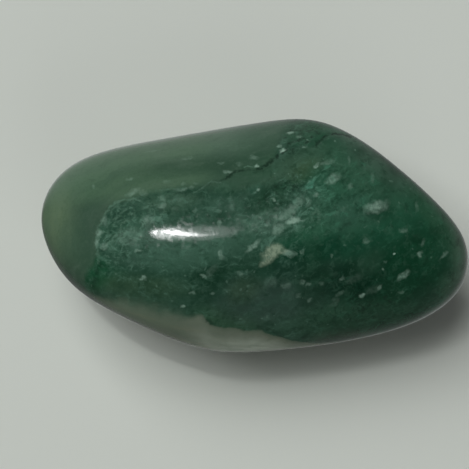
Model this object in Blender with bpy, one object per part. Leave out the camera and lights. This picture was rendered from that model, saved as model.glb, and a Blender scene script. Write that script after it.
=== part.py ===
"""One tumbled pebble of green chalcedony, about 40 mm long, lying on its broad underside.

A tumbled stone keeps the faces of the broken piece that it was cut from, while every edge and
corner between them is worn round. The pebble is modelled in the same way: it is the space inside
a set of flats, each given by the way it faces and its distance from the middle of the stone, with
the edges between neighbouring flats rounded by wear. X runs along the stone, Z points up, and the
origin is the middle of its underside, at the height of the surface that it rests on.
"""

import math

import bmesh
import bpy
from mathutils import Vector, noise

MM = 0.001

# The length sets the size of the whole stone. The other sizes follow it.
LENGTH = 40.0 * MM

# How far the wear reaches back from a sharp edge: more of it gives rounder edges. The broad faces
# above and below rub more than the flats round the rim, so they blend more softly.
RIM_WEAR = 1.1 * MM
FACE_WEAR = 1.7 * MM

# What rubbing has taken off the lowest point. It leaves a true flat, on which the stone rests.
UNDERSIDE_WEAR = 0.16 * MM

# Each flat: the compass direction that it faces (0 is +X, 90 is +Y), its rise above the horizon,
# both in degrees, and its distance from the middle of the stone in millimetres.
RIM_FLATS = {
    "long back": (100, 6, 10.6),
    "short back": (51, -4, 12.3),
    "right end, back": (15, 4, 21.3),
    "right end": (-9, 2, 21.5),
    "front right": (-56, -4, 16.9),
    "front middle": (-80, 4, 12.8),
    "front left": (-115, -6, 13.2),
    "left end": (186, 2, 23.0),
    "left end, back": (126, -2, 16.9),
    "left end, corner": (153, -5, 20.5),
    "left end, front": (211, 4, 18.8),
}
FACE_FLATS = {
    "upper back": (100, 48, 10.0),
    "upper front": (-82, 46, 10.3),
    "upper left": (178, 58, 14.6),
    "upper right": (8, 60, 14.2),
    "crown": (160, 86, 8.9),
    "underside": (0, -90, 8.3),
    "lower back": (95, -46, 10.3),
    "lower front": (-88, -42, 10.7),
    "lower left": (176, -42, 16.8),
    "lower right": (-5, -40, 17.8),
}

# The surface swells and dips gently between the flats.
SWELL = 0.16 * MM
SWELL_SPACING = 9.0 * MM
SWELL_SEED = Vector((3.1, 7.4, 1.9))

# Shallow hollows left by old chips, worn smooth: compass direction and rise of the middle, in
# degrees, then radius and depth in millimetres.
HOLLOWS = {
    "back, low down": (116, -26, 5.4, 0.50),
    "underside, right": (-28, -52, 4.6, 0.35),
    "front, low down": (-98, -30, 4.4, 0.30),
}

# Mesh cells along the length, the width and the thickness of the block that becomes the stone.
CELLS = (36, 20, 16)

# Side of that block before it is rounded off, and the proportions that then spread its cells over
# the long, low stone.
BLOCK_SIDE = 2.0
BLOCK = Vector((1.9, 1.0, 0.75))

# How often its points are then evened out against their neighbours, and how far each one moves.
EVENING_ROUNDS = 12
EVENING_SHARE = 0.5

# Halvings in the search for the surface along one direction. The last step is under a micron.
HALVINGS = 26

# The look of the stone: the middle of its range of greens, under an even polish.
GREEN = (0.028, 0.071, 0.047, 1)
POLISH_ROUGHNESS = 0.12
CHALCEDONY_IOR = 1.54


def facing(compass, rise):
    """The unit direction for a compass direction and a rise above the horizon, in degrees."""
    turn = math.radians(compass)
    lift = math.radians(rise)
    return Vector((math.cos(turn) * math.cos(lift), math.sin(turn) * math.cos(lift), math.sin(lift)))


WORN_FLATS = [
    (facing(compass, rise), distance * MM, wear)
    for flats, wear in ((RIM_FLATS, RIM_WEAR), (FACE_FLATS, FACE_WEAR))
    for compass, rise, distance in flats.values()
]


def worn_radius(direction):
    """The distance from the middle to the worn surface, along one direction.

    A flat adds exp(height above the flat / wear) at a point. The sum is one on the surface, so a
    lone flat stays flat, and where two of them meet the surface drops below both.
    """
    inner = 0.0
    outer = LENGTH
    for _ in range(HALVINGS):
        middle = (inner + outer) / 2
        point = direction * middle
        total = sum(math.exp((point.dot(normal) - distance) / wear) for normal, distance, wear in WORN_FLATS)
        if total > 1:
            outer = middle
        else:
            inner = middle
    return inner


def swell(point):
    """The gentle rise or dip of the surface at a point."""
    return SWELL * noise.noise(point / SWELL_SPACING + SWELL_SEED)


def place_hollows():
    """The middle of each hollow on the surface, with its radius and its depth."""
    placed = []
    for compass, rise, radius, depth in HOLLOWS.values():
        direction = facing(compass, rise)
        placed.append((direction * worn_radius(direction), radius * MM, depth * MM))
    return placed


def hollow_depth(point, hollows):
    """How far the hollows sink the surface at a point. Each is a bowl that fades out at its rim."""
    sunk = 0.0
    for centre, radius, depth in hollows:
        share = (point - centre).length / radius
        if share < 1:
            sunk += depth * (1 - share**2) ** 2
    return sunk


def block_of_cells():
    """A closed block whose faces are divided into cells along each of the three axes."""
    block = bmesh.new()
    bmesh.ops.create_cube(block, size=BLOCK_SIDE)
    for axis, cells in enumerate(CELLS):
        across = [other for other in range(3) if other != axis]
        edges = [
            edge
            for edge in block.edges
            if all(abs(edge.verts[0].co[other] - edge.verts[1].co[other]) < MM for other in across)
        ]
        bmesh.ops.subdivide_edges(block, edges=edges, cuts=cells - 1, use_grid_fill=True)
    return block


def round_block(block):
    """Rounds the block off and evens out its cells, so that none is pinched at a corner."""
    for vertex in block.verts:
        vertex.co = vertex.co.normalized() * BLOCK
    for _ in range(EVENING_ROUNDS):
        bmesh.ops.smooth_vert(
            block,
            verts=block.verts,
            factor=EVENING_SHARE,
            use_axis_x=True,
            use_axis_y=True,
            use_axis_z=True,
        )


def shape_stone(block):
    """Moves every point of the block out or in to the worn surface."""
    hollows = place_hollows()
    for vertex in block.verts:
        direction = vertex.co.normalized()
        point = direction * worn_radius(direction)
        vertex.co = point + direction * (swell(point) - hollow_depth(point, hollows))


def span(block, axis):
    """The lowest and highest coordinate of the block along one axis."""
    values = [vertex.co[axis] for vertex in block.verts]
    return min(values), max(values)


def set_down(block):
    """Wears the underside flat, brings the stone to its length and puts the origin under it."""
    resting_height = span(block, 2)[0] + UNDERSIDE_WEAR
    for vertex in block.verts:
        vertex.co.z = max(vertex.co.z, resting_height)
    left, right = span(block, 0)
    bmesh.ops.scale(block, vec=Vector((1, 1, 1)) * LENGTH / (right - left), verts=block.verts)
    middle = Vector((sum(span(block, 0)) / 2, sum(span(block, 1)) / 2, span(block, 2)[0]))
    bmesh.ops.translate(block, vec=-middle, verts=block.verts)


def chalcedony():
    """Polished green chalcedony."""
    material = bpy.data.materials.new("green chalcedony")
    material.use_nodes = True
    surface = material.node_tree.nodes["Principled BSDF"]
    surface.inputs["Base Color"].default_value = GREEN
    surface.inputs["Roughness"].default_value = POLISH_ROUGHNESS
    surface.inputs["Metallic"].default_value = 0
    surface.inputs["IOR"].default_value = CHALCEDONY_IOR
    return material


def clear_scene():
    """Takes out whatever the scene starts with."""
    for item in list(bpy.data.objects):
        bpy.data.objects.remove(item)


def make_stone():
    """The pebble, as one closed body in a collection of its own."""
    block = block_of_cells()
    round_block(block)
    shape_stone(block)
    set_down(block)
    bmesh.ops.recalc_face_normals(block, faces=block.faces)
    bmesh.ops.triangulate(block, faces=block.faces, quad_method="SHORT_EDGE")
    mesh = bpy.data.meshes.new("stone")
    block.to_mesh(mesh)
    block.free()
    mesh.shade_smooth()
    mesh.materials.append(chalcedony())
    collection = bpy.data.collections.new("tumbled chalcedony")
    bpy.context.scene.collection.children.link(collection)
    stone = bpy.data.objects.new("stone", mesh)
    collection.objects.link(stone)
    return stone


clear_scene()
make_stone()
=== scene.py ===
import math

import bmesh
import bpy
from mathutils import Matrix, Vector, noise
from mathutils.bvhtree import BVHTree


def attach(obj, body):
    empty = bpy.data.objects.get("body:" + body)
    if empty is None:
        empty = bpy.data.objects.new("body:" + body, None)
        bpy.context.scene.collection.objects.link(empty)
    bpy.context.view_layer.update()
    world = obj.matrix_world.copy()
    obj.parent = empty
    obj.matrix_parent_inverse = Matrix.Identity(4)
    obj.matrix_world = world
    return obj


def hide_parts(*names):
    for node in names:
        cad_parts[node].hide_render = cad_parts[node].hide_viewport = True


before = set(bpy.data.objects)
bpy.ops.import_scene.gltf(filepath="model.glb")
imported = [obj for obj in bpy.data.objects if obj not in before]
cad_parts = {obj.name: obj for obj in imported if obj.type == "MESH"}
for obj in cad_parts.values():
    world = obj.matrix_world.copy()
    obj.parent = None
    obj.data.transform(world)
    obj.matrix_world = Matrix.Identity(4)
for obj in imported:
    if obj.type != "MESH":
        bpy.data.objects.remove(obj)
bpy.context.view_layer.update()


# The stone is one pebble of green chalcedony, tumbled with grit until every edge was round and
# then polished to a gloss. Nothing is fixed to it: its smooth grey-green skin, its mottled green
# heart, the dark seam between them and the pale flecks are all colour in the same stone.

MM = 0.001
MICRON = 0.001 * MM

# Where the heart meets the skin, seen from above, as millimetres along and across the stone. The
# skin wraps the left end and the upper back.
HEART_EDGE = [
    (-15.6, -5.2), (-15.3, -4.4), (-14.7, -3.8), (-14.35, -3.1), (-14.15, -1.0), (-13.8, 0.4),
    (-13.2, 1.5), (-12.5, 2.0), (-11.7, 2.25), (-10.4, 2.6), (-8.6, 2.9), (-6.8, 3.15), (-5.0, 3.2),
    (-3.6, 3.4), (-1.8, 3.5), (0.0, 3.5), (1.1, 4.0), (1.7, 5.6), (2.2, 7.6), (2.9, 9.3), (3.6, 11.5),
]

# The left end of the heart. Between two places across the stone it steps further out to the left.
HEART_END = -14.3
CORNER_TOP = -2.8
CORNER_FOOT = -4.3
CORNER_STEP = 1.4

# The dark seam above it, also seen from above.
SEAM = [
    (-4.85, 3.02), (-3.77, 3.58), (-2.6, 3.84), (-2.24, 4.23), (-1.69, 4.61), (-1.06, 4.69), (0.11, 4.70),
    (0.84, 4.94), (1.38, 5.42), (1.93, 5.92), (2.39, 6.43), (2.85, 6.63), (3.22, 6.93), (4.13, 7.02),
    (5.03, 6.89), (5.58, 6.99), (5.77, 7.31), (6.25, 7.86), (6.92, 8.34), (7.94, 8.40), (8.76, 8.11),
]

# The height of the rind, which is skin again, against the place along the stone.
RIND = [
    (-20.0, 11.4), (-15.5, 11.9), (-13.8, 12.85), (-12.5, 13.6), (-11.2, 13.95), (-9.4, 13.9), (-8.1, 13.7),
    (-6.7, 13.55), (-5.4, 13.55), (-4.5, 13.4), (-4.15, 13.05), (-3.8, 12.7), (-3.0, 12.5), (-1.9, 12.3),
    (-0.4, 12.0), (0.8, 11.65), (1.9, 11.0), (3.1, 10.2), (4.1, 9.4), (7.1, 7.8), (13.0, 3.0), (18.0, -2.0),
]

SMOOTHING_LEVELS = 2
WELD_DISTANCE = 1 * MICRON
FLAT_ANGLE = math.radians(40)

# The polish follows hard and soft grains, so the surface keeps slight waves: height, spacing.
WAVES = [(5.0 * MICRON, 2.6 * MM), (2.2 * MICRON, 1.1 * MM)]

# Along the seam the stone is softer, and polishing has left a shallow, broken groove.
GROOVE_DEPTH = 45 * MICRON
GROOVE_WIDTH = 0.22 * MM
GROOVE_START = -5.5 * MM
GROOVE_BREAKS = 1.3 * MM

# The groove has faded out at this many widths from the seam. Next, how open it is on the whole, and
# how much that varies along it.
GROOVE_REACH = 3
GROOVE_OPEN = 0.6
GROOVE_UNEVEN = 1.6

# The groove and the pits are on the upper side of the stone, above this height.
UPPER_SIDE = 8 * MM

# Pits where a grain has dropped out: place along and across, radius and depth, in millimetres.
PITS = [
    (2.5, 6.6, 0.20, 0.05), (2.3, 7.1, 0.16, 0.04), (0.3, 5.0, 0.22, 0.05), (3.4, 7.4, 0.25, 0.06),
    (9.4, -6.5, 0.30, 0.05), (7.5, -6.3, 0.26, 0.05), (1.9, 2.9, 0.24, 0.03), (-5.6, -6.4, 0.18, 0.04),
]


def distance_to_seam(x, y):
    """How far a point seen from above lies from the seam, in metres."""
    point = Vector((x, y))
    nearest = math.inf
    for start, end in zip(SEAM, SEAM[1:]):
        start = Vector(start) * MM
        run = Vector(end) * MM - start
        along = max(0.0, min(1.0, (point - start).dot(run) / run.length_squared))
        nearest = min(nearest, (point - start - run * along).length)
    return nearest


def surface_lift(point):
    """How far polishing has left one point of the surface above or below its true place."""
    lift = sum(height * noise.noise(point / spacing) for height, spacing in WAVES)
    if point.z > UPPER_SIDE and point.x > GROOVE_START:
        gap = distance_to_seam(point.x, point.y) / GROOVE_WIDTH
        if gap < GROOVE_REACH:
            open_share = GROOVE_OPEN + GROOVE_UNEVEN * noise.noise(point / GROOVE_BREAKS)
            lift -= GROOVE_DEPTH * max(0.0, min(1.0, open_share)) * math.exp(-gap * gap)
    if point.z > UPPER_SIDE:
        for x, y, radius, depth in PITS:
            share = math.hypot(point.x - x * MM, point.y - y * MM) / (radius * MM)
            if share < 1:
                lift -= depth * MM * (1 - share * share) ** 2
    return lift


# The stone's own faceted solid is welded, turned from triangles into cells and rounded by
# subdivision. Then each point moves by the little that the polish has left.
shape = bmesh.new()
shape.from_mesh(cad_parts["stone"].data)
bmesh.ops.remove_doubles(shape, verts=shape.verts, dist=WELD_DISTANCE)
bmesh.ops.join_triangles(
    shape, faces=shape.faces, angle_face_threshold=FLAT_ANGLE, angle_shape_threshold=FLAT_ANGLE
)
cage = bpy.data.meshes.new("stone cage")
shape.to_mesh(cage)
shape.free()
stone = bpy.data.objects.new("polished_stone", cage)
bpy.context.scene.collection.objects.link(stone)
rounding = stone.modifiers.new("rounding", "SUBSURF")
rounding.levels = rounding.render_levels = SMOOTHING_LEVELS
fine = bpy.data.meshes.new_from_object(stone.evaluated_get(bpy.context.evaluated_depsgraph_get()))
stone.modifiers.clear()
surface = bmesh.new()
surface.from_mesh(fine)
surface.normal_update()
for vertex in surface.verts:
    vertex.co += vertex.normal * surface_lift(vertex.co)
top_tree = BVHTree.FromBMesh(surface)
surface.to_mesh(fine)
surface.free()
fine.name = "polished stone"
fine.shade_smooth()
stone.data = fine


# Well above the stone, where the search for its upper surface starts.
ABOVE_STONE = 1.0


def top_of_stone(x, y):
    """The height of the stone's upper surface at a place seen from above, all in millimetres."""
    hit = top_tree.ray_cast(Vector((x * MM, y * MM, ABOVE_STONE)), Vector((0, 0, -1)))[0]
    return hit.z / MM


def colour(red, green, blue):
    """A colour as the eye reads it, each part from 0 to 255, in the linear values that shaders take."""
    linear = []
    for part in (red / 255, green / 255, blue / 255):
        linear.append(part / 12.92 if part < 0.04045 else ((part + 0.055) / 1.055) ** 2.4)
    return (*linear, 1)


def add(tree, kind, values, **settings):
    """Adds one node. Each value is a number, a colour or another node's output, by its socket."""
    node = tree.nodes.new("ShaderNode" + kind)
    for name, setting in settings.items():
        setattr(node, name, setting)
    for socket, value in values.items():
        if isinstance(value, bpy.types.NodeSocket):
            tree.links.new(value, node.inputs[socket])
        else:
            node.inputs[socket].default_value = value
    return node


def maths(tree, operation, *values):
    """One sum on numbers."""
    return add(tree, "Math", dict(enumerate(values)), operation=operation).outputs[0]


def vectors(tree, operation, *values):
    """One sum on vectors. A length or a dot product comes out as a number."""
    node = add(tree, "VectorMath", dict(enumerate(values)), operation=operation)
    return node.outputs["Value" if operation in ("LENGTH", "DOT_PRODUCT") else "Vector"]


def scaled(tree, vector, factor):
    """A vector times a number."""
    return add(tree, "VectorMath", {0: vector, "Scale": factor}, operation="SCALE").outputs["Vector"]


def fade(tree, value, start, end):
    """Rises softly from 0 where the value is at start to 1 where it is at end."""
    values = {"Value": value, "From Min": start, "From Max": end}
    return add(tree, "MapRange", values, interpolation_type="SMOOTHSTEP", clamp=False).outputs["Result"]


def between(tree, mask, low, high):
    """Runs from one number to another as the mask goes from 0 to 1."""
    return maths(tree, "MULTIPLY_ADD", mask, high - low, low)


def clouds(tree, point, size, seed, detail=2.0, roughness=0.5, output="Fac"):
    """Soft noise about 0.5, with lumps of about the given size in millimetres."""
    values = {"Vector": point, "W": seed, "Scale": 1 / size, "Detail": detail, "Roughness": roughness}
    return add(tree, "TexNoise", values, noise_dimensions="4D").outputs[output]


def paint(tree, mask, under, over, blend="MIX"):
    """Lays one colour over another where the mask is 1."""
    node = add(tree, "Mix", {"Factor": mask}, data_type="RGBA", blend_type=blend)
    sockets = [socket for socket in node.inputs if socket.type == "RGBA"]
    for socket, value in zip(sockets, (under, over)):
        if isinstance(value, bpy.types.NodeSocket):
            tree.links.new(value, socket)
        else:
            socket.default_value = value
    return [socket for socket in node.outputs if socket.type == "RGBA"][0]


def warped(tree, point, size, amount, seed):
    """The point, pushed about by soft noise, which makes straight patterns ragged."""
    push = vectors(tree, "SUBTRACT", clouds(tree, point, size, seed, output="Color"), (0.5, 0.5, 0.5))
    return vectors(tree, "ADD", point, scaled(tree, push, 2 * amount))


def curve_through(tree, value, places):
    """Reads a smooth curve through (place, height) pairs, in millimetres, at a value."""
    first, last = places[0][0], places[-1][0]
    low = min(height for _, height in places)
    high = max(height for _, height in places)
    along = add(tree, "MapRange", {"Value": value, "From Min": first, "From Max": last}).outputs["Result"]
    node = add(tree, "FloatCurve", {"Value": along})
    curve = node.mapping.curves[0]
    spots = [((place - first) / (last - first), (height - low) / (high - low)) for place, height in places]
    curve.points[0].location = spots[0]
    curve.points[1].location = spots[-1]
    for spot in spots[1:-1]:
        curve.points.new(*spot)
    for spot in curve.points:
        spot.handle_type = "AUTO_CLAMPED"
    node.mapping.update()
    return between(tree, node.outputs["Value"], low, high)


def new_group(name, inputs, output):
    """An empty shader node group with these inputs, each (name, kind), and one output."""
    group = bpy.data.node_groups.new(name, "ShaderNodeTree")
    for socket, kind in inputs:
        group.interface.new_socket(socket, in_out="INPUT", socket_type="NodeSocket" + kind)
    group.interface.new_socket(output[0], in_out="OUTPUT", socket_type="NodeSocket" + output[1])
    return group, group.nodes.new("NodeGroupInput").outputs, group.nodes.new("NodeGroupOutput").inputs


# A patch inside the stone: 1 within an ellipsoid, fading to 0 round it.
patch_group, given, result = new_group(
    "patch",
    [("Point", "Vector"), ("Centre", "Vector"), ("Along", "Vector"), ("Across", "Vector"), ("Up", "Vector"),
     ("Strength", "Float"), ("Softness", "Float")],
    ("Mask", "Float"),
)
offset = vectors(patch_group, "SUBTRACT", given["Point"], given["Centre"])
shares = {
    axis: vectors(patch_group, "DOT_PRODUCT", offset, given[name])
    for axis, name in (("X", "Along"), ("Y", "Across"), ("Z", "Up"))
}
reach = vectors(patch_group, "LENGTH", add(patch_group, "CombineXYZ", shares).outputs["Vector"])
inner_edge = maths(patch_group, "SUBTRACT", 1.0, given["Softness"])
outer_edge = maths(patch_group, "ADD", 1.0, given["Softness"])
inside = fade(patch_group, reach, outer_edge, inner_edge)
patch_group.links.new(maths(patch_group, "MULTIPLY", inside, given["Strength"]), result["Mask"])

# A line drawn on the stone as seen from above: 1 along its middle, fading to 0 on either side.
line_group, given, result = new_group(
    "line",
    [("Point", "Vector"), ("Start", "Vector"), ("Run", "Vector"), ("Along", "Vector"), ("Width", "Float"),
     ("Strength", "Float")],
    ("Mask", "Float"),
)
offset = vectors(line_group, "SUBTRACT", given["Point"], given["Start"])
travelled = maths(line_group, "MAXIMUM", vectors(line_group, "DOT_PRODUCT", offset, given["Along"]), 0.0)
travelled = maths(line_group, "MINIMUM", travelled, 1.0)
aside = vectors(line_group, "SUBTRACT", offset, scaled(line_group, given["Run"], travelled))
drawn = fade(line_group, vectors(line_group, "LENGTH", aside), given["Width"], 0.0)
line_group.links.new(maths(line_group, "MULTIPLY", drawn, given["Strength"]), result["Mask"])

material = bpy.data.materials.new("polished green chalcedony")
material.use_nodes = True
tree = material.node_tree
stone_shader = tree.nodes["Principled BSDF"]


def patch(point, x, y, long_half, short_half, turn, strength, softness, deep=None):
    """The mask of one patch that shows on the upper surface, with its sizes in millimetres."""
    cosine, sine = math.cos(math.radians(turn)), math.sin(math.radians(turn))
    values = {
        "Point": point,
        "Centre": (x, y, top_of_stone(x, y)),
        "Along": (cosine / long_half, sine / long_half, 0.0),
        "Across": (-sine / short_half, cosine / short_half, 0.0),
        "Up": (0.0, 0.0, 1 / (deep or (long_half + short_half) / 2)),
        "Strength": strength,
        "Softness": softness,
    }
    return add(tree, "Group", values, node_tree=patch_group).outputs["Mask"]


def lines(point, runs):
    """The mask of lines through places in millimetres. Each run: half width, strength, places."""
    covered = 0.0
    for width, strength, places in runs:
        for start, end in zip(places, places[1:]):
            run = Vector((*end, 0.0)) - Vector((*start, 0.0))
            values = {
                "Point": point,
                "Start": (*start, 0.0),
                "Run": run,
                "Along": run / run.length_squared,
                "Width": width,
                "Strength": strength,
            }
            line = add(tree, "Group", values, node_tree=line_group).outputs["Mask"]
            covered = maths(tree, "MAXIMUM", covered, line)
    return maths(tree, "MULTIPLY", covered, upper_face)


def share(mask, strength):
    """A mask brought down to a part of its strength, or kept to where another mask is."""
    return maths(tree, "MULTIPLY", mask, strength)


def coat(under, mask, strength, over):
    """Lays one colour over another where the mask is 1, at a part of its full strength."""
    return paint(tree, share(mask, strength), under, over)


def grained(under, rows, where=None):
    """Works tones into a colour by noise, all over it or where a mask is.

    Each row: the noise, its value where the tone starts, its value where the tone is full, the
    tone's strength and its colour.
    """
    for field, start, full, strength, tone in rows:
        mask = fade(tree, field, start, full)
        if where is not None:
            mask = share(mask, where)
        under = coat(under, mask, strength, tone)
    return under


# The place on the stone in millimetres, true and pushed about in several ways: gently for broad
# patches, more for the borders, and raggedly for small grains and for lines.
place = tree.nodes.new("ShaderNodeTexCoord").outputs["Object"]
point = scaled(tree, place, 1 / MM)
spread = warped(tree, point, size=3.0, amount=0.35, seed=1)
wandering = warped(tree, spread, size=0.9, amount=0.35, seed=4)
ragged = warped(tree, point, size=0.7, amount=0.38, seed=2)
ragged = warped(tree, ragged, size=0.25, amount=0.09, seed=3)
shaken = warped(tree, point, size=0.5, amount=0.26, seed=20)
shaken = warped(tree, shaken, size=0.2, amount=0.14, seed=21)
seen_from_above = vectors(tree, "MULTIPLY", shaken, (1.0, 1.0, 0.0))
parts = add(tree, "SeparateXYZ", {0: wandering}).outputs
x, y, z = (parts[axis] for axis in "XYZ")
true_parts = add(tree, "SeparateXYZ", {0: point}).outputs
true_x, true_y, true_z = (true_parts[axis] for axis in "XYZ")
UPPER_FACE = (9.5, 11.0)
upper_face = fade(tree, true_z, *UPPER_FACE)

# How deep each point lies in the heart, in millimetres, from the skin and from the rind: below zero
# it is outside. The rind's edge is crisp on the right and blurs to the left, and the skin's edge
# blurs on the right.
behind_edge = maths(tree, "SUBTRACT", curve_through(tree, x, HEART_EDGE), y)
below_corner = fade(tree, y, CORNER_TOP, CORNER_FOOT)
past_end = maths(tree, "SUBTRACT", x, HEART_END)
from_end = maths(tree, "MULTIPLY_ADD", below_corner, CORNER_STEP, past_end)
above_rind = maths(tree, "SUBTRACT", z, curve_through(tree, x, RIND))
upper_depth = maths(tree, "SMOOTH_MIN", behind_edge, from_end, 0.8)
rind_blur = between(tree, fade(tree, true_x, -4.6, -7.5), 0.13, 1.33)
clear_of_rind = fade(tree, maths(tree, "DIVIDE", above_rind, rind_blur), -1.0, 1.0)
skin_blur = between(tree, fade(tree, true_x, 0.5, 2.0), 0.5, 1.4)
clear_of_skin = fade(tree, maths(tree, "DIVIDE", upper_depth, skin_blur), -0.9, 1.1)
heart = share(clear_of_rind, clear_of_skin)

# The skin: darkest where it meets the heart, and paler and yellower outwards. The paler outer
# skin is partly its own colour and partly painted light that shows through the thin edge.
LAYER_EDGE = [(-20.0, 0.0), (-14.3, 0.6), (-12.5, 1.8), (-10.4, 2.6), (-5.0, 3.2), (0.0, 3.5), (3.6, 4.5)]
SKIN_INNER = colour(44, 70, 54)
SKIN_MIDDLE = colour(54, 82, 65)
SKIN_OUTER_AND_GLOW = colour(70, 98, 79)
SKIN_GREY = colour(84, 106, 90)
SKIN_BAND = colour(41, 70, 53)
SKIN_TIP_AND_GLOW = colour(88, 110, 84)
outside_edge = maths(tree, "SUBTRACT", curve_through(tree, x, LAYER_EDGE), y)
layer_depth = maths(tree, "SMOOTH_MIN", outside_edge, from_end, 3.0)
right_of_middle = share(fade(tree, true_x, -1.5, 2.0), 0.8)
outward = maths(tree, "MAXIMUM", fade(tree, layer_depth, -1.2, -4.4), right_of_middle)
skin = paint(tree, outward, SKIN_INNER, SKIN_OUTER_AND_GLOW)
beside_heart = share(fade(tree, upper_depth, -1.8, -0.7), fade(tree, true_x, -13.0, -11.0))
skin = coat(skin, beside_heart, 0.75, SKIN_MIDDLE)

# Its regions: the stretch along the stone over which each comes in, the same across it, how strong
# it is there, and its colour.
SKIN_REGIONS = {
    "right": ((-3.5, 1.0), (-12.0, -11.0), 0.80, colour(47, 79, 60)),
    # The upper left is partly paler grey-green skin and partly painted reflection of the bright walls.
    "upper left": ((-2.5, -6.0), (1.0, 2.6), 0.80, colour(74, 102, 79)),
    "left": ((-12.5, -14.0), (3.4, 0.4), 0.80, colour(57, 82, 66)),
    "low on the left": ((-12.5, -14.0), (-1.5, -3.5), 0.25, colour(44, 74, 54)),
}
for along, across, strength, tone in SKIN_REGIONS.values():
    region = share(fade(tree, true_x, *along), fade(tree, true_y, *across))
    skin = coat(skin, region, strength, tone)

# Two darker bands in it: place along and across, half length, half width, turn in degrees, strength.
SKIN_BANDS = [(-5.6, 5.3, 4.6, 0.9, 4, 0.65), (0.4, 6.2, 2.2, 0.8, 35, 0.50)]
BROAD_SOFTNESS = 0.6
banded = 0.0
for band in SKIN_BANDS:
    banded = maths(tree, "MAXIMUM", banded, patch(spread, *band, BROAD_SOFTNESS, deep=3.0))
skin = paint(tree, banded, skin, SKIN_BAND)

# The tip of the stone is the palest and yellowest part: partly its own colour, partly painted light
# that shows through the thin end and painted reflection. It comes in over a wandering edge and a
# slow rise, and is weaker above and below the middle.
tip_wander = clouds(tree, point, size=2.6, seed=33, detail=3)
tip_edge = fade(tree, maths(tree, "MULTIPLY_ADD", tip_wander, 4.0, x), -14.6, -16.2)
tip = maths(tree, "MULTIPLY_ADD", fade(tree, x, -15.0, -18.0), 0.5, share(tip_edge, 0.4))
tip = share(tip, fade(tree, true_y, -6.0, 0.5))
tip = share(tip, between(tree, fade(tree, true_y, 4.2, 1.0), 0.2, 1.0))
skin = paint(tree, tip, skin, SKIN_TIP_AND_GLOW)

# Faint layers wrap round the end of the stone, with long clouds, streaks and dust along them.
layer_wave = maths(tree, "SINE", maths(tree, "MULTIPLY", layer_depth, 3.6))
slow_x = maths(tree, "MULTIPLY_ADD", x, 0.3, share(z, 0.3))
laid = {"X": slow_x, "Y": share(y, 0.3), "Z": layer_depth}
along_layers = add(tree, "CombineXYZ", laid).outputs["Vector"]
skin_clouds = clouds(tree, along_layers, size=1.9, seed=6, detail=3)
skin_streaks = clouds(tree, along_layers, size=0.45, seed=22, detail=3, roughness=0.62)
skin_dust = clouds(tree, point, size=0.22, seed=32, detail=1)
skin = grained(skin, [
    (layer_wave, 0.00, 1.00, 0.16, SKIN_MIDDLE),
    (skin_clouds, 0.50, 0.30, 0.35, SKIN_MIDDLE),
    (skin_clouds, 0.50, 0.72, 0.30, SKIN_GREY),
    (skin_dust, 0.50, 0.72, 0.12, SKIN_GREY),
    (skin_dust, 0.50, 0.28, 0.14, SKIN_INNER),
    (skin_streaks, 0.50, 0.75, 0.18, SKIN_GREY),
    (skin_streaks, 0.48, 0.28, 0.26, SKIN_INNER),
])

# The rind: pale grey chalcedony in layers that follow the edge of the heart, with greener wisps low
# down. Its pale band near the lower edge is partly the rind's colour and partly painted reflection
# of the bright ground below the stone.
RIND_LEFT = colour(104, 120, 101)
RIND_GREY = colour(104, 116, 100)
RIND_PALE_AND_REFLECTION = colour(170, 181, 166)
RIND_WARM = colour(128, 132, 108)
RIND_GREEN = colour(74, 104, 84)
rind_depth = maths(tree, "MULTIPLY", above_rind, -1.0)
rind_along = maths(tree, "MULTIPLY_ADD", rind_depth, 0.45, x)
rind = paint(tree, fade(tree, rind_along, -10.5, -4.5), RIND_LEFT, RIND_GREY)
# The pale band: partly rind colour, partly painted reflection of the bright ground.
pale_band_and_reflection = share(fade(tree, rind_depth, 0.2, 2.4), fade(tree, rind_along, -6.5, -0.5))
pale_band_and_reflection = share(pale_band_and_reflection, fade(tree, rind_along, 8.0, 1.0))
pale_band_and_reflection = share(pale_band_and_reflection, fade(tree, rind_depth, 12.0, 5.0))
rind = paint(tree, pale_band_and_reflection, rind, RIND_PALE_AND_REFLECTION)
laid = {"X": share(x, 0.16), "Y": share(y, 0.16), "Z": rind_depth}
flat_layers = add(tree, "CombineXYZ", laid).outputs["Vector"]
bent_layers = warped(tree, flat_layers, size=1.6, amount=0.5, seed=27)
rind_layers = clouds(tree, bent_layers, size=1.5, seed=28, detail=4, roughness=0.55)
rind = grained(rind, [
    (rind_layers, 0.48, 0.68, 0.40, RIND_WARM),
    (rind_layers, 0.48, 0.32, 0.30, RIND_GREY),
])
torn = warped(tree, point, size=1.5, amount=1.0, seed=29)
rind_wisps = clouds(tree, torn, size=1.6, seed=30, detail=4, roughness=0.62)
low_down = between(tree, fade(tree, rind_depth, 2.5, 6.0), 0.15, 0.80)
rind = coat(rind, fade(tree, rind_wisps, 0.48, 0.66), low_down, RIND_GREEN)
in_rind = share(fade(tree, rind_depth, -0.5, 0.5), fade(tree, true_y, -2.0, -6.0))
in_rind = share(in_rind, fade(tree, x, -16.5, -12.5))
skin = paint(tree, in_rind, skin, rind)

# The heart: deep green, with clearer emerald parts, blue-grey and olive stains and darker depths.
HEART = colour(44, 76, 60)
EMERALD = colour(30, 81, 58)
DEPTHS = colour(16, 48, 32)
BLUE_GREY = colour(48, 70, 61)
GREY_GREEN = colour(64, 97, 81)
CLOUD = colour(92, 132, 113)
OLIVE = colour(56, 80, 54)
CORNER = colour(12, 62, 37)
BRIGHT = colour(50, 92, 70)
BLACKISH = colour(2, 36, 22)
SMOOTH = colour(58, 85, 67)
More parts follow.
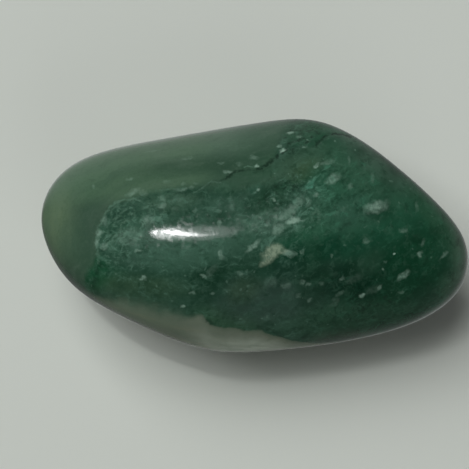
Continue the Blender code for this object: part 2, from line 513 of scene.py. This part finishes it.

# Broad stains: place along and across, half length, half width, turn in degrees, strength,
# softness and colour. They all reach as deep into the stone. Three are partly painted light, as
# marked below.
STAIN_DEPTH = 4.5
STAINS = [
    (-11.6, -0.6, 3.4, 3.0, 15, 0.25, 0.50, GREY_GREEN),
    (-11.6, -3.6, 2.6, 1.2, 0, 0.30, 0.60, DEPTHS),
    # Below the highlight: partly grey-green stone, partly painted glow round the highlight.
    (-6.6, -2.2, 5.4, 1.8, 4, 0.65, 0.60, GREY_GREEN),
    (-3.6, 2.2, 3.8, 1.2, 8, 0.30, 0.60, DEPTHS),
    (11.5, 1.6, 7.4, 5.6, -25, 0.85, 0.45, EMERALD),
    (4.4, -2.3, 2.6, 1.4, 15, 0.85, 0.50, EMERALD),
    (-14.4, -4.9, 1.5, 1.1, 60, 1.00, 0.50, CORNER),
    (-12.9, -4.8, 1.6, 0.9, -10, 0.35, 0.60, CORNER),
    (7.5, 7.0, 4.2, 2.4, -20, 0.45, 0.50, BRIGHT),
    (9.8, 4.0, 4.6, 2.0, -25, 0.65, 0.60, colour(54, 86, 68)),
    (4.2, 8.8, 3.0, 1.4, -5, 0.60, 0.50, colour(30, 70, 47)),
    # At the upper right edge: partly grey-green skin, partly painted sheen toward the edge.
    (10.4, 6.6, 4.6, 1.5, -42, 0.85, 0.55, colour(68, 92, 78)),
    (5.6, -2.7, 3.4, 1.2, 14, 0.85, 0.55, colour(8, 54, 36)),
    (11.0, 0.6, 1.4, 0.8, 25, 0.60, 0.55, colour(12, 48, 30)),
    (15.1, -2.3, 1.8, 1.1, 20, 0.50, 0.60, colour(17, 56, 35)),
    (-2.0, -5.0, 3.4, 1.0, 4, 0.80, 0.55, DEPTHS),
    (0.2, 1.3, 0.9, 1.5, -20, 0.20, 0.60, DEPTHS),
    (-3.3, 1.2, 2.0, 0.9, 10, 0.45, 0.60, GREY_GREEN),
    (6.0, 0.6, 3.4, 1.6, 30, 0.50, 0.60, BRIGHT),
    (4.3, 5.4, 3.4, 1.1, 22, 0.75, 0.60, SMOOTH),
    (-0.8, 3.6, 3.6, 0.8, 5, 0.60, 0.60, SMOOTH),
    (13.0, -4.8, 6.0, 3.0, 20, 0.90, 0.50, colour(9, 55, 34)),
    (7.6, -5.2, 4.0, 1.6, 12, 0.75, 0.50, BLACKISH),
    (10.2, -3.7, 1.5, 0.9, 45, 0.60, 0.60, colour(42, 76, 58)),
    (9.7, -6.5, 1.4, 0.9, 20, 0.50, 0.60, BLACKISH),
    (3.3, -8.6, 1.8, 1.0, 10, 0.70, 0.60, GREY_GREEN),
    (-2.2, -8.6, 3.0, 1.0, -8, 0.80, 0.60, colour(52, 86, 62)),
    (1.0, -7.0, 4.6, 2.2, 0, 0.80, 0.45, BLUE_GREY),
    (-4.3, -5.6, 2.0, 1.3, 45, 0.70, 0.50, DEPTHS),
    # At the right end: partly paler stone, partly painted reflection of the ground along the rim.
    (19.5, -2.6, 1.5, 4.2, 15, 0.95, 0.50, colour(66, 100, 79)),
    (16.0, -1.0, 2.2, 1.8, 15, 0.50, 0.60, colour(17, 62, 40)),
    (2.6, 0.6, 3.6, 1.5, 30, 0.60, 0.70, GREY_GREEN),
    (4.4, 4.4, 1.5, 0.8, 35, 0.50, 0.60, OLIVE),
    (1.5, 1.8, 1.7, 1.1, 45, 0.60, 0.60, colour(30, 64, 44)),
    (-1.0, -6.2, 1.6, 1.0, 20, 0.35, 0.60, OLIVE),
    (8.3, 0.6, 2.6, 1.8, 0, 0.75, 0.60, colour(48, 82, 66)),
    (6.4, 7.2, 2.8, 1.4, -10, 0.45, 0.60, colour(34, 70, 52)),
    (-7.6, 1.8, 2.4, 0.8, 5, 0.55, 0.60, colour(66, 94, 76)),
    (9.6, -2.0, 2.2, 1.0, 20, 0.75, 0.60, colour(18, 62, 43)),
    (2.6, -4.4, 2.3, 1.0, 0, 0.75, 0.55, colour(18, 50, 37)),
    (5.0, -5.8, 1.2, 3.0, 0, 0.60, 0.60, DEPTHS),
    (8.8, -8.5, 6.0, 1.3, 6, 0.80, 0.60, colour(44, 80, 60)),
    (8.3, -9.8, 2.8, 0.5, 6, 0.70, 0.60, colour(66, 82, 68)),
    (18.0, -5.4, 1.3, 1.0, 45, 0.50, 0.60, colour(62, 96, 75)),
    (16.0, 1.7, 3.2, 1.2, -55, 0.55, 0.60, colour(52, 92, 68)),
    (-14.9, -4.2, 0.8, 1.5, -15, 0.90, 0.50, CORNER),
    (-10.4, -5.9, 3.8, 1.0, -4, 0.65, 0.60, colour(52, 76, 54)),
]
tint = HEART
for *outline, stain in STAINS:
    tint = paint(tree, patch(spread, *outline, deep=STAIN_DEPTH), tint, stain)

# The grain of the heart runs level at the left end and climbs to the right further along. Its lumps
# are drawn out along the grain.
GRAIN_STRETCH = (0.62, 1.0, 0.85)
grain_turn = maths(tree, "RADIANS", between(tree, fade(tree, true_x, -12.0, 6.0), 6.0, 40.0))
turned = {"Vector": wandering, "Angle": grain_turn}
grain = add(tree, "VectorRotate", turned, rotation_type="Z_AXIS", invert=True).outputs["Vector"]
streaked = vectors(tree, "MULTIPLY", grain, GRAIN_STRETCH)

# How lively the pattern is: most in these places (as for the stains, without a colour), less in
# the calm ones, where the strength is taken away.
LIVELY_BASE = 0.42
LIVELY = [
    (2.8, 0.6, 3.6, 2.2, 35, 0.60), (6.8, 2.8, 4.4, 3.0, 30, 0.50), (-11.2, -0.6, 3.4, 3.0, 10, 0.35),
    (12.5, 0.6, 5.0, 3.0, -10, 0.05),
]
CALM = [
    (10.6, 5.7, 5.0, 1.8, -42, 0.22), (1.0, -7.2, 5.2, 2.0, 0, 0.20), (4.0, 5.6, 3.6, 1.1, 20, 0.25),
    (-1.0, 3.7, 4.0, 0.9, 5, 0.25), (12.0, 1.0, 8.0, 6.0, -20, 0.16), (7.5, -5.2, 5.5, 2.6, 8, 0.16),
]
lively = LIVELY_BASE
for operation, areas in (("ADD", LIVELY), ("SUBTRACT", CALM)):
    for area in areas:
        lively = maths(tree, operation, lively, patch(spread, *area, BROAD_SOFTNESS, deep=STAIN_DEPTH))

# The pattern itself, from broad clouds down to a sugary grain. Its pale parts turn teal to the right.
TEAL_CLOUD = colour(58, 116, 90)
pale_green = paint(tree, share(fade(tree, true_x, 3.5, 8.0), 0.9), CLOUD, TEAL_CLOUD)
broad = clouds(tree, spread, size=4.5, seed=7, detail=3)
drifting = warped(tree, streaked, size=2.0, amount=0.8, seed=23)
drifts = clouds(tree, drifting, size=1.9, seed=24, detail=2)
streaks = clouds(tree, streaked, size=1.3, seed=8, detail=4, roughness=0.6)
feathery = warped(tree, streaked, size=0.8, amount=0.7, seed=25)
feathers = clouds(tree, feathery, size=0.55, seed=9, detail=3, roughness=0.62)
sugar = clouds(tree, point, size=0.3, seed=10, detail=2, roughness=0.6)
clots = clouds(tree, ragged, size=1.0, seed=31, detail=3, roughness=0.55)
tint = grained(tint, [
    (broad, 0.50, 0.30, 0.30, DEPTHS),
    (drifts, 0.50, 0.34, 0.28, DEPTHS),
    (drifts, 0.50, 0.70, 0.22, BRIGHT),
])
tint = grained(tint, [(streaks, 0.50, 0.32, 0.55, DEPTHS)], lively)
tint = grained(tint, [(clots, 0.47, 0.33, 0.45, DEPTHS)])
tint = grained(tint, [
    (feathers, 0.50, 0.74, 0.75, pale_green),
    (feathers, 0.48, 0.28, 0.60, DEPTHS),
    (sugar, 0.50, 0.75, 0.25, pale_green),
    (sugar, 0.48, 0.28, 0.30, DEPTHS),
], lively)

# Faint pale threads curl through the heart, most of them at its left end.
THREAD = colour(88, 124, 105)
THREADS_ELSEWHERE = 0.12
curling = warped(tree, ragged, size=0.9, amount=0.6, seed=11)
from_thread = maths(tree, "SUBTRACT", clouds(tree, curling, size=0.8, seed=12, detail=1), 0.5)
threads = fade(tree, maths(tree, "ABSOLUTE", from_thread), 0.09, 0.0)
threads = share(threads, fade(tree, clouds(tree, point, size=0.8, seed=26), 0.42, 0.62))
thread_area = patch(spread, -11.6, -0.9, 3.2, 3.0, 20, 0.45, 0.5, deep=4.0)
tint = coat(tint, threads, maths(tree, "ADD", thread_area, THREADS_ELSEWHERE), THREAD)

# Dark peppery grains gather beside the seam, above the pale cloud and along the lower edge. Each
# area is given as a stain is, without its softness and colour.
PEPPER = colour(22, 44, 32)
PEPPER_AREAS = [
    (1.9, 2.3, 2.4, 1.1, 45, 0.55), (4.0, 7.8, 2.6, 1.4, 20, 0.75), (3.0, 6.4, 2.4, 0.7, 42, 0.55),
    (4.0, 2.6, 1.6, 0.8, 0, 0.40), (9.5, -7.6, 5.0, 1.0, 8, 0.60),
]
pepper = fade(tree, clouds(tree, ragged, size=0.42, seed=13, detail=2, roughness=0.6), 0.50, 0.34)
for area in PEPPER_AREAS:
    tint = coat(tint, pepper, patch(spread, *area, BROAD_SOFTNESS), PEPPER)

# Fine pale specks: one in every few grains catches the light, most of them beside the seam.
SPECK = colour(112, 146, 128)
SPECK_SPACING = 0.62
SPECK_LARGEST = 0.26
SPECKS_ELSEWHERE = 0.22
grains = add(tree, "TexVoronoi", {"Vector": ragged, "Scale": 1 / SPECK_SPACING}, feature="F1").outputs
speck_size = fade(tree, add(tree, "SeparateXYZ", {0: grains["Color"]}).outputs["X"], 0.66, 1.0)
from_speck = maths(tree, "SUBTRACT", grains["Distance"], share(speck_size, SPECK_LARGEST))
speck_area = patch(spread, 5.5, 6.6, 5.0, 2.8, 20, 0.3, 0.5, deep=3.0)
speck_share = maths(tree, "ADD", speck_area, SPECKS_ELSEWHERE)
tint = coat(tint, fade(tree, from_speck, 0.06, -0.12), speck_share, SPECK)

body = paint(tree, heart, skin, tint)

# The seam is dark, thin and broken, with short branches. Each run: half width, strength, places.
SEAM_DARK = colour(17, 38, 27)
DARK_LINES = [
    (0.20, 0.45, SEAM[0:3]), (0.26, 0.75, SEAM[2:6]), (0.15, 0.35, SEAM[5:7]), (0.26, 0.80, SEAM[6:12]),
    (0.15, 0.30, SEAM[11:16]), (0.24, 0.75, SEAM[15:21]),
    (0.22, 0.60, [(2.8, 6.7), (3.1, 7.3), (3.6, 7.5), (4.1, 7.7)]), (0.14, 0.30, [(3.0, 6.3), (4.2, 6.2)]),
    (0.14, 0.35, [(-8.1, 2.7), (-7.1, 2.6), (-6.2, 2.6)]),
    (0.20, 0.35, [(-0.1, 4.4), (0.7, 4.6), (1.4, 5.0)]),
    (0.45, 0.40, [(1.0, 2.0), (1.4, 2.5), (1.7, 3.0), (2.3, 3.2)]), (0.30, 0.30, [(3.7, 2.9), (4.3, 2.3)]),
    (0.25, 0.35, [(7.6, -0.9), (8.0, -0.6), (8.5, -0.4)]),
    (0.35, 0.40, [(10.1, 0.5), (11.2, 0.8), (12.0, 1.3)]),
    (0.50, 0.45, [(-14.0, -3.8), (-14.4, -5.0), (-14.6, -5.4)]), (0.25, 0.50, [(-4.3, -8.7), (-3.9, -9.0)]),
    (0.30, 0.35, [(0.3, -9.2), (1.8, -9.6), (2.4, -9.8)]),
]
line_grain = fade(tree, clouds(tree, point, size=0.45, seed=14, detail=2), 0.30, 0.48)
body = coat(body, lines(seen_from_above, DARK_LINES), line_grain, SEAM_DARK)

# Pale threads that stand out: the ragged rim round the left end of the heart, the curls inside it,
# the strands of the pale cloud and a few short dashes.
STRAND = colour(96, 130, 111)
RAGGED_RIM = [
    (-14.1, -3.6), (-14.2, -2.5), (-14.3, -1.8), (-14.1, -1.0), (-14.2, -0.4), (-13.8, 0.1), (-13.7, 0.5),
    (-13.2, 1.4), (-12.8, 1.7), (-12.4, 2.0), (-11.7, 2.1), (-11.1, 2.2), (-10.4, 2.0),
]
PALE_LINES = [
    (0.22, 0.42, RAGGED_RIM),
    (0.20, 0.34, [(-12.8, 0.2), (-12.4, 0.5), (-11.9, 1.0), (-11.5, 1.3)]),
    (0.20, 0.38, [(-12.1, -0.2), (-11.6, 0.1), (-11.1, 0.1), (-10.8, 0.4), (-11.0, 0.8), (-11.4, 0.7)]),
    (0.18, 0.32, [(-12.2, -1.0), (-12.1, -0.7), (-12.0, -0.2)]),
    (0.20, 0.34, [(-10.1, 1.1), (-9.6, 1.4), (-9.0, 1.5), (-8.5, 1.5), (-8.2, 1.2), (-8.1, 0.8),
                  (-8.4, 0.5), (-8.7, 0.1)]),
    (0.22, 0.34, [(-12.9, -2.0), (-12.8, -1.4), (-12.5, -1.2)]),
    (0.22, 0.36, [(-13.6, -2.2), (-13.1, -1.9), (-12.8, -1.7)]),
    (0.26, 0.34, [(-11.6, 2.5), (-11.2, 2.6), (-10.8, 2.8)]),
    (0.16, 0.30, [(-8.6, 2.9), (-7.2, 3.0), (-6.4, 3.0)]),
    (0.18, 0.30, [(-5.6, 2.6), (-5.0, 2.8), (-4.6, 3.1), (-4.0, 3.6), (-3.1, 3.6)]),
    (0.24, 0.30, [(-8.4, 2.2), (-8.1, 1.9)]), (0.34, 0.45, [(1.7, -1.2), (2.2, -1.0), (3.0, -0.5)]),
    (0.32, 0.34, [(1.9, 0.4), (1.8, -0.4), (1.7, -1.2)]),
    (0.40, 0.42, [(2.2, 0.0), (2.7, 0.3), (3.1, 0.5), (3.5, 0.9), (3.7, 1.5), (4.0, 1.7)]),
    (0.24, 0.30, [(0.0, 0.1), (0.6, 0.5), (1.1, 0.6)]), (0.22, 0.30, [(5.4, 0.8), (5.1, 0.3), (5.1, -0.3)]),
    (0.22, 0.30, [(5.5, 0.9), (5.8, 0.4), (5.7, -0.3)]), (0.24, 0.26, [(7.1, 0.5), (7.6, 0.7), (8.2, 1.2)]),
    (0.24, 0.26, [(-1.0, -0.2), (-0.4, -0.6), (0.3, -0.3)]), (0.15, 0.45, [(-0.9, 5.0), (0.1, 5.05)]),
]
strand_noise = clouds(tree, point, size=0.4, seed=18, detail=2)
strand_grain = between(tree, fade(tree, strand_noise, 0.34, 0.62), 0.35, 1.15)
body = coat(body, lines(seen_from_above, PALE_LINES), strand_grain, STRAND)

# Pale flecks and patches: place along and across, half length, half width, turn in degrees and
# strength.
PALE = colour(148, 180, 162)
CREAM = colour(156, 173, 148)
TEAL = colour(104, 178, 150)
PALE_FLECKS = [
    (3.4, -0.1, 0.50, 0.28, 20, 0.62), (3.9, -0.1, 0.40, 0.10, 0, 0.35), (3.0, 0.6, 0.80, 0.40, 45, 0.20),
    (2.1, -0.8, 0.60, 0.36, 50, 0.24), (3.9, 1.5, 0.70, 0.30, 50, 0.14), (1.0, 0.2, 1.40, 0.50, 15, 0.05),
    (0.6, -0.9, 1.60, 0.40, 5, 0.06), (-9.6, 0.0, 0.55, 0.45, 30, 0.20), (-11.3, -1.4, 1.10, 0.70, 0, 0.14),
    (-14.1, -0.9, 0.26, 0.24, 0, 0.35), (-14.3, -1.9, 0.20, 0.30, 0, 0.30),
    (-13.6, -2.2, 0.30, 0.22, 20, 0.30), (-13.7, 0.3, 0.24, 0.34, 0, 0.22),
    (-10.5, -2.7, 0.25, 0.16, 0, 0.30), (-8.3, 1.4, 0.30, 0.26, 0, 0.18),
    (-0.2, -2.4, 0.62, 0.20, 40, 0.42), (-3.0, -3.2, 0.38, 0.20, 105, 0.36),
    (1.7, 1.8, 0.16, 0.14, 0, 0.36), (2.0, 1.4, 0.20, 0.14, 60, 0.20), (0.3, 2.7, 0.15, 0.13, 0, 0.50),
    (5.4, 2.2, 0.20, 0.18, 0, 0.28), (4.8, 1.5, 0.22, 0.30, 0, 0.20), (3.2, 8.5, 0.30, 0.16, 0, 0.55),
    (4.1, 8.1, 0.20, 0.15, 0, 0.25), (2.5, 6.6, 0.28, 0.20, 40, 0.80), (2.3, 7.1, 0.22, 0.13, 0, 0.45),
    (0.2, 5.05, 0.24, 0.14, 20, 0.60), (4.6, 7.0, 0.20, 0.12, 0, 0.30), (-2.4, 4.5, 0.35, 0.17, 0, 0.28),
    (-4.6, -5.0, 0.24, 0.14, 10, 0.32), (-5.6, -6.4, 0.20, 0.14, 0, 0.26),
    (-3.9, -6.5, 0.16, 0.14, 0, 0.20), (-6.5, -7.6, 0.16, 0.14, 0, 0.50), (1.4, -5.5, 0.50, 0.40, 0, 0.10),
    (2.8, -5.8, 0.32, 0.26, 0, 0.16), (-3.8, -4.6, 0.55, 0.28, 35, 0.10),
    (-1.4, -4.8, 0.35, 0.17, -10, 0.18), (-10.0, -5.2, 0.25, 0.15, 5, 0.60),
    (4.2, -5.5, 0.25, 0.19, 10, 0.24), (4.8, -5.7, 0.20, 0.12, 0, 0.26), (6.0, -5.6, 0.20, 0.15, 0, 0.14),
    (7.8, -5.1, 0.20, 0.16, 50, 0.28), (9.7, -6.5, 0.24, 0.17, 10, 0.60),
    (11.2, -5.8, 0.30, 0.17, 50, 0.32), (10.7, -6.0, 0.70, 0.30, 30, 0.08),
    (13.4, -4.8, 0.50, 0.24, 40, 0.42), (12.5, -3.0, 0.12, 0.10, 0, 0.80),
    (11.6, -4.3, 0.13, 0.12, 0, 0.30), (13.2, -6.2, 0.18, 0.12, 20, 0.24),
    (7.7, -6.4, 0.35, 0.16, 35, 0.15), (7.2, -7.1, 0.55, 0.24, 50, 0.10), (8.9, -5.2, 0.60, 0.30, 30, 0.08),
    (3.9, -6.6, 0.15, 0.15, 0, 0.18), (5.0, -7.0, 0.25, 0.14, 60, 0.20), (6.9, -3.2, 0.20, 0.14, 60, 0.20),
    (4.2, -2.9, 0.20, 0.18, 0, 0.24), (9.9, -1.9, 0.25, 0.20, 0, 0.22), (13.3, -0.9, 0.35, 0.24, 10, 0.26),
    (14.9, -2.8, 0.24, 0.14, 25, 0.40), (17.2, -2.8, 0.45, 0.16, 45, 0.30),
    (15.2, -1.8, 0.30, 0.14, 85, 0.16), (14.7, 1.5, 0.50, 0.14, 80, 0.14),
    (10.9, 1.2, 0.90, 0.44, 20, 0.48), (10.4, 1.1, 0.45, 0.28, 20, 0.25), (7.0, 3.7, 0.60, 0.34, 40, 0.34),
    (6.8, 3.6, 0.24, 0.18, 40, 0.24), (5.6, 5.0, 0.33, 0.14, 45, 0.50), (6.6, 5.3, 0.60, 0.16, 20, 0.18),
    (8.6, 3.0, 0.35, 0.16, 50, 0.20), (10.6, 3.9, 0.45, 0.17, 70, 0.16), (8.5, 5.5, 0.40, 0.14, 85, 0.14),
    (3.0, -3.0, 0.50, 0.22, -10, 0.34), (-11.3, 4.1, 0.32, 0.16, 0, 0.20),
    (-14.7, 3.6, 0.18, 0.18, 0, 0.14), (-11.0, 2.8, 0.55, 0.24, 25, 0.18),
    (-10.1, 2.7, 0.30, 0.22, -20, 0.14), (-8.3, 2.1, 0.30, 0.22, -30, 0.18),
    (-7.9, 3.7, 0.30, 0.20, 0, 0.12), (-6.4, 3.5, 0.24, 0.16, 0, 0.16), (-5.7, 3.1, 0.24, 0.14, 0, 0.16),
    (-5.3, 3.5, 0.20, 0.16, 0, 0.12), (-6.6, 2.9, 0.55, 0.12, 5, 0.20), (-0.1, 5.9, 0.40, 0.20, 0, 0.20),
    (-3.0, 5.5, 0.26, 0.14, 0, 0.16), (-1.4, 5.3, 0.22, 0.20, 0, 0.14), (-7.1, 1.9, 0.45, 0.18, 0, 0.08),
    (-7.1, 1.1, 0.24, 0.18, 0, 0.09), (-5.4, 0.9, 0.24, 0.16, 30, 0.12), (-3.2, -0.4, 0.18, 0.34, 15, 0.28),
    (-3.2, 0.8, 0.18, 0.18, 0, 0.11), (-2.1, 1.3, 0.30, 0.60, 0, 0.07), (-1.3, 0.1, 0.40, 0.60, 30, 0.07),
    (-9.4, 7.0, 0.55, 0.10, 8, 0.10), (-6.2, 6.1, 0.45, 0.12, 8, 0.14),
]
CREAM_FLECKS = [
    (1.7, -2.85, 0.60, 0.50, 35, 0.60), (1.2, -3.35, 0.60, 0.46, 45, 0.56),
    (0.8, -3.85, 0.40, 0.30, 50, 0.46), (2.3, -2.8, 0.50, 0.28, 0, 0.40),
]
TEAL_FLECKS = [
    (4.9, 3.2, 0.50, 0.22, 50, 0.20), (4.9, 3.0, 0.26, 0.17, 30, 0.34), (0.0, 2.8, 0.60, 0.34, 20, 0.05),
]
FLECK_SPREAD = 1.12
FLECK_SOFTNESS = 0.55
fleck_noise = clouds(tree, point, size=0.3, seed=19, detail=2)
fleck_grain = between(tree, fade(tree, fleck_noise, 0.34, 0.62), 0.5, 1.05)
for fleck_colour, flecks in ((PALE, PALE_FLECKS), (CREAM, CREAM_FLECKS), (TEAL, TEAL_FLECKS)):
    covered = 0.0
    for fleck_x, fleck_y, long_half, short_half, turn, strength in flecks:
        sizes = (long_half * FLECK_SPREAD, short_half * FLECK_SPREAD)
        fleck = patch(ragged, fleck_x, fleck_y, *sizes, turn, strength, FLECK_SOFTNESS)
        covered = maths(tree, "MAXIMUM", covered, fleck)
    body = coat(body, covered, fleck_grain, fleck_colour)

tree.links.new(body, stone_shader.inputs["Base Color"])

# The polish is even, with the least trace of the grain in its gloss.
POLISHED = 0.08
DULLEST = 0.19
RELIEF_DEPTH = 5 * MICRON
CHALCEDONY_IOR = 1.54
SURFACE_GLOSS = 0.4
dull_grains = fade(tree, clouds(tree, point, size=0.45, seed=15, detail=1), 0.50, 0.72)
tree.links.new(between(tree, dull_grains, POLISHED, DULLEST), stone_shader.inputs["Roughness"])
grain_relief = clouds(tree, point, size=0.7, seed=16, detail=1)
relief = add(tree, "Bump", {"Height": grain_relief, "Strength": 1.0, "Distance": RELIEF_DEPTH})
tree.links.new(relief.outputs["Normal"], stone_shader.inputs["Normal"])
stone_shader.inputs["IOR"].default_value = CHALCEDONY_IOR
stone_shader.inputs["Specular IOR Level"].default_value = SURFACE_GLOSS

fine.materials.clear()
fine.materials.append(material)
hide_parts("stone")
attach(stone, "root")


# The floor is a plain sheet of pale matt board under the stone. It has no mirror image in the
# polish, so the light alone sets the gloss.
FLOOR_HALF = 1.5
FLOOR_PALE = colour(204, 209, 202)
FLOOR_ROUGHNESS = 0.8
floor_shape = bmesh.new()
bmesh.ops.create_grid(floor_shape, x_segments=1, y_segments=1, size=FLOOR_HALF)
floor_mesh = bpy.data.meshes.new("floor")
floor_shape.to_mesh(floor_mesh)
floor_shape.free()
floor_material = bpy.data.materials.new("pale floor")
floor_material.use_nodes = True
floor_shader = floor_material.node_tree.nodes["Principled BSDF"]
floor_shader.inputs["Base Color"].default_value = FLOOR_PALE
floor_shader.inputs["Roughness"].default_value = FLOOR_ROUGHNESS
floor_mesh.materials.append(floor_material)
floor = bpy.data.objects.new("floor", floor_mesh)
floor.visible_glossy = False
bpy.context.scene.collection.objects.link(floor)


# The light is that of a plain room: a dim ceiling, brighter walls low down on the window's side, and
# a little light thrown up by the ground, most of it on the right.
ZENITH = 0.035
WALLS = 0.04
WINDOW = 0.43
GROUND_GLOW = 0.16
GROUND = 0.05

# Where the window and the glow from the ground are, seen from above, and how nearly a direction
# points there, as a cosine, where the light starts and where it is full.
WINDOW_SIDE = Vector((-0.57, 0.82, 0.0))
WINDOW_SPAN = (0.76, 1.0)
GLOW_SIDE = Vector((0.88, 0.47, 0.0))
GLOW_SPAN = (0.0, 0.9)

# The same for how high a direction points: 1 is straight up.
WALL_HEIGHTS = (0.66, 0.0)
GLOW_HEIGHTS = (0.2, -0.3)
GROUND_HEIGHTS = (-0.6, -1.0)

world = bpy.data.worlds.new("studio")
bpy.context.scene.world = world
world.use_nodes = True
sky = world.node_tree
direction = vectors(sky, "NORMALIZE", sky.nodes.new("ShaderNodeTexCoord").outputs["Generated"])
height = add(sky, "SeparateXYZ", {0: direction}).outputs["Z"]
bearing = vectors(sky, "NORMALIZE", vectors(sky, "MULTIPLY", direction, (1.0, 1.0, 0.0)))
towards_window = fade(sky, vectors(sky, "DOT_PRODUCT", bearing, WINDOW_SIDE), *WINDOW_SPAN)
towards_glow = fade(sky, vectors(sky, "DOT_PRODUCT", bearing, GLOW_SIDE), *GLOW_SPAN)
walls = maths(sky, "MULTIPLY_ADD", towards_window, WINDOW, WALLS)
brightness = maths(sky, "MULTIPLY_ADD", fade(sky, height, *WALL_HEIGHTS), walls, ZENITH)
ground_glow = maths(sky, "MULTIPLY", towards_glow, fade(sky, height, *GLOW_HEIGHTS))
brightness = maths(sky, "MULTIPLY_ADD", ground_glow, GROUND_GLOW, brightness)
brightness = maths(sky, "MULTIPLY_ADD", fade(sky, height, *GROUND_HEIGHTS), GROUND, brightness)
DAYLIGHT = (0.97, 1.0, 0.98, 1)
backdrop = sky.nodes["Background"]
backdrop.inputs["Color"].default_value = DAYLIGHT
sky.links.new(brightness, backdrop.inputs["Strength"])


def panel(name, middle, size, turn, power, mirrored):
    """A flat lamp at a place, facing the stone and turned about its own axis."""
    lamp = bpy.data.lights.new(name, "AREA")
    lamp.shape = "RECTANGLE"
    lamp.size, lamp.size_y = size
    lamp.energy = power
    item = bpy.data.objects.new(name, lamp)
    item.location = middle
    item.rotation_euler = (0, 0, math.radians(turn))
    item.visible_glossy = mirrored
    bpy.context.scene.collection.objects.link(item)
    return item


# The lamp is a long bright tube with a fainter end, seen through a dim screen. Its mirror image is
# the long highlight on the stone. Each part: place across the room at the height of the lamp, length
# and width, and brightness, in metres and watts to the square metre and steradian.
LAMP_HEIGHT = 0.5
LAMP_TURN = -30
LAMP_PARTS = {
    "lamp": (-0.145, 0.108, 0.062, 0.022, 66),
    "lamp end": (-0.113, 0.090, 0.046, 0.011, 60),
    "lamp tip": (-0.094, 0.080, 0.046, 0.008, 20),
    "lamp screen": (-0.104, 0.091, 0.140, 0.070, 2.2),
}
for name, (lamp_x, lamp_y, length, width, radiance) in LAMP_PARTS.items():
    middle = Vector((lamp_x, lamp_y, LAMP_HEIGHT))
    power = math.pi * radiance * math.pi / 4 * length * width
    tube = panel(name, middle, (length, width), LAMP_TURN, power, mirrored=True)
    tube.data.shape = "ELLIPSE"

# Two broad, soft lamps do most of the lighting, from behind and, much weaker, from in front. They
# stand behind gauze, so they have no mirror image. Each: place, size and power, in metres and watts.
SOFT_LAMPS = {
    "soft lamp": (Vector((-0.35, 0.3, 0.8)), 0.7, 6.9),
    "front fill": (Vector((0.35, -0.75, 0.38)), 0.7, 1.5),
}
for name, (middle, size, power) in SOFT_LAMPS.items():
    soft = panel(name, middle, (size, size), 0, power, mirrored=False)
    soft.rotation_euler = middle.to_track_quat("Z", "Y").to_euler()


# The camera looks down on the stone from nearly overhead, as the photograph does.
CAMERA_RISE = math.radians(80)
CAMERA_DISTANCE = 160 * MM
CAMERA_TARGET = Vector((-1.83, 0.06, 8.0)) * MM
CAMERA_NEAREST = 10 * MM
VIEW_WIDTH = 44.2 * MM

camera_data = bpy.data.cameras.new("camera")
camera_data.lens = camera_data.sensor_width * CAMERA_DISTANCE / VIEW_WIDTH
camera_data.clip_start = CAMERA_NEAREST
camera = bpy.data.objects.new("camera", camera_data)
towards_camera = Vector((0, -math.cos(CAMERA_RISE), math.sin(CAMERA_RISE)))
camera.location = CAMERA_TARGET + CAMERA_DISTANCE * towards_camera
camera.rotation_euler = (math.pi / 2 - CAMERA_RISE, 0, 0)
bpy.context.scene.collection.objects.link(camera)
bpy.context.scene.camera = camera
bpy.context.scene.view_settings.view_transform = "Standard"
